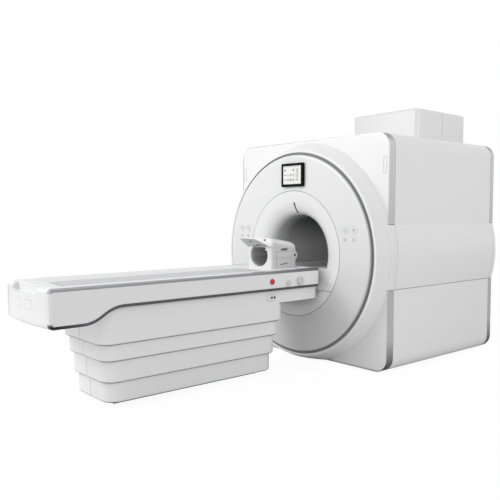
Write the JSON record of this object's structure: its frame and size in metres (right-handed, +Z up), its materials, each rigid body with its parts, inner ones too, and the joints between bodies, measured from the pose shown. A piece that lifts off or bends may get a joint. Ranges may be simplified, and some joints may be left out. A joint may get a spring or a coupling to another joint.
{
  "type": "magnetic resonance imaging scanner",
  "caption": "White whole-body scanner: bore magnet in a rounded housing with a round front plate and flared bore, and a lifting patient table with head coil and telescopic shroud.",
  "frame": {"origin": "on the floor straight below the middle of the bore", "axes": "+Y along the bore away from the patient table, +X to the right seen from the table's foot, +Z up"},
  "size_m": [2.0416, 4.555, 2.455],
  "materials": {
    "cover_white": "smooth white lacquered moulding",
    "front_white": "smooth white lacquered moulding",
    "fascia_white": "satin white lacquered plate",
    "flare_white": "gloss white moulding",
    "liner_white": "gloss white tube",
    "bridge_white": "satin white moulding",
    "edge_metal": "satin metal band",
    "seal_grey": "matt dark gasket",
    "table_white": "smooth white lacquered moulding",
    "panel_grey": "satin light grey paint",
    "shroud_white": "satin off-white moulding",
    "table_metal": "satin dark metal frame",
    "board_white": "satin white laminate",
    "pad_grey": "soft pale grey coated fabric",
    "coil_white": "satin white moulding",
    "latch_white": "white plastic peg",
    "steel_frame": "grey powder coat",
    "vessel_steel": "welded stainless steel",
    "inner_steel": "welded stainless steel",
    "winding_copper": "wound copper coils in resin",
    "epoxy_brown": "resin-filled winding body",
    "antenna_copper": "copper strip cage",
    "cooler_metal": "machined metal",
    "frame_metal": "folded sheet",
    "column_metal": "drawn telescopic tube",
    "drive_dark": "black painted motor",
    "pulley_metal": "turned wheel",
    "belt_black": "toothed belt",
    "display_black": "gloss black housing",
    "screen_glass": "lit screen under glass",
    "key_white": "satin push key",
    "lamp_grey": "small round lens",
    "light_dark": "dark window",
    "stop_red": "red push button",
    "knob_grey": "satin round knob",
    "socket_grey": "satin plate with two dark sockets"
  },
  "bodies": {
    "magnet": {"magnet_feet": "steel_frame", "cryostat_vessel": "vessel_steel", "helium_vessel": "inner_steel", "magnet_coils": "winding_copper", "gradient_coil": "epoxy_brown", "rf_body_coil": "antenna_copper", "cold_head": "cooler_metal", "bore_liner": "liner_white", "bore_bridge": "bridge_white", "cover_frame": "frame_metal", "front_cover": "front_white", "rear_cover": "cover_white", "bezel_seal": "seal_grey", "front_fascia": "fascia_white", "rear_funnel": "flare_white", "positioning_light": "light_dark", "key_lamps": "lamp_grey", "front_edge_trims": "edge_metal", "rear_edge_trims": "edge_metal", "turret_covers": "cover_white", "funnel_upper": "flare_white", "funnel_lower": "flare_white", "side_covers": "cover_white", "skirt_covers": "cover_white", "roof_cover": "cover_white", "display_housing": "display_black", "display_screen": "screen_glass", "table_base": "steel_frame", "lift_columns_outer": "column_metal", "lift_motor": "drive_dark", "shroud_floor": "shroud_white"},
    "table": {"table_chassis": "frame_metal", "lift_columns_inner": "column_metal", "shroud_top": "shroud_white", "socket_plate": "socket_grey", "table_deck": "table_white", "side_panels": "panel_grey", "side_trims": "table_metal", "end_cap": "table_white", "port_covers": "table_white", "table_pan": "panel_grey", "drive_belt": "belt_black", "drive_motor": "drive_dark"},
    "column_middle": {"lift_columns_middle": "column_metal"},
    "shroud_upper": {"shroud_upper": "shroud_white"},
    "shroud_lower": {"shroud_lower": "shroud_white"},
    "board": {"patient_board": "board_white", "mattress": "pad_grey", "coil_base": "coil_white"},
    "coil_lid": {"coil_lid": "coil_white"},
    "coil_latch": {"coil_latch": "latch_white"},
    "emergency_stop": {"emergency_stop": "stop_red"},
    "knob_front": {"knob_front": "knob_grey"},
    "knob_rear": {"knob_rear": "knob_grey"},
    "drive_pulley": {"drive_pulley": "pulley_metal"},
    "idler_pulley": {"idler_pulley": "pulley_metal"},
    "key_left_outer": {"key_left_outer": "key_white"},
    "key_left_inner": {"key_left_inner": "key_white"},
    "key_right_inner": {"key_right_inner": "key_white"},
    "key_right_outer": {"key_right_outer": "key_white"}
  },
  "joints": [
    {"name": "table_lift", "type": "slide", "parent": "magnet", "child": "table", "axis": [0, 0, 1], "range_m": [-0.4, 0]},
    {"name": "column_middle_slide", "type": "slide", "parent": "magnet", "child": "column_middle", "axis": [0, 0, 1], "range_m": [-0.201, 0]},
    {"name": "shroud_upper_slide", "type": "slide", "parent": "magnet", "child": "shroud_upper", "axis": [0, 0, 1], "range_m": [-0.267, 0]},
    {"name": "shroud_lower_slide", "type": "slide", "parent": "magnet", "child": "shroud_lower", "axis": [0, 0, 1], "range_m": [-0.134, 0]},
    {"name": "board_slide", "type": "slide", "parent": "table", "child": "board", "axis": [0, 1, 0], "range_m": [0, 1.9]},
    {"name": "drive_pulley_turn", "type": "hinge", "parent": "table", "child": "drive_pulley", "pos_m": [0, -3.4, 0.8], "axis": [1, 0, 0], "continuous": true},
    {"name": "idler_pulley_turn", "type": "hinge", "parent": "table", "child": "idler_pulley", "pos_m": [0, -1.19, 0.8], "axis": [1, 0, 0], "continuous": true},
    {"name": "coil_lid_hinge", "type": "hinge", "parent": "board", "child": "coil_lid", "pos_m": [0, -1.207, 1.029], "axis": [1, 0, 0], "range_deg": [-75, 0]},
    {"name": "coil_latch_slide", "type": "slide", "parent": "coil_lid", "child": "coil_latch", "axis": [1, 0, 0], "range_m": [0, 0.008]},
    {"name": "emergency_stop_push", "type": "slide", "parent": "table", "child": "emergency_stop", "axis": [-1, 0, 0], "range_m": [0, 0.004]},
    {"name": "knob_front_turn", "type": "hinge", "parent": "table", "child": "knob_front", "pos_m": [0.383, -1.496, 0.805], "axis": [1, 0, 0], "range_deg": [-135, 135]},
    {"name": "knob_rear_turn", "type": "hinge", "parent": "table", "child": "knob_rear", "pos_m": [0.383, -1.354, 0.818], "axis": [1, 0, 0], "range_deg": [-135, 135]},
    {"name": "key_left_outer_push", "type": "slide", "parent": "magnet", "child": "key_left_outer", "axis": [0, 1, 0], "range_m": [0, 0.003], "stiffness_N_per_m": 700, "springref_m": -0.001},
    {"name": "key_left_inner_push", "type": "slide", "parent": "magnet", "child": "key_left_inner", "axis": [0, 1, 0], "range_m": [0, 0.003], "stiffness_N_per_m": 700, "springref_m": -0.001},
    {"name": "key_right_inner_push", "type": "slide", "parent": "magnet", "child": "key_right_inner", "axis": [0, 1, 0], "range_m": [0, 0.003], "stiffness_N_per_m": 700, "springref_m": -0.001},
    {"name": "key_right_outer_push", "type": "slide", "parent": "magnet", "child": "key_right_outer", "axis": [0, 1, 0], "range_m": [0, 0.003], "stiffness_N_per_m": 700, "springref_m": -0.001}
  ],
  "couplings": [
    {"joint": "column_middle_slide", "follows": "table_lift", "ratio": 0.5},
    {"joint": "shroud_upper_slide", "follows": "table_lift", "ratio": 0.6667},
    {"joint": "shroud_lower_slide", "follows": "table_lift", "ratio": 0.3333},
    {"joint": "drive_pulley_turn", "follows": "board_slide", "rad_per_m": -35.714},
    {"joint": "idler_pulley_turn", "follows": "board_slide", "rad_per_m": -35.714}
  ]
}
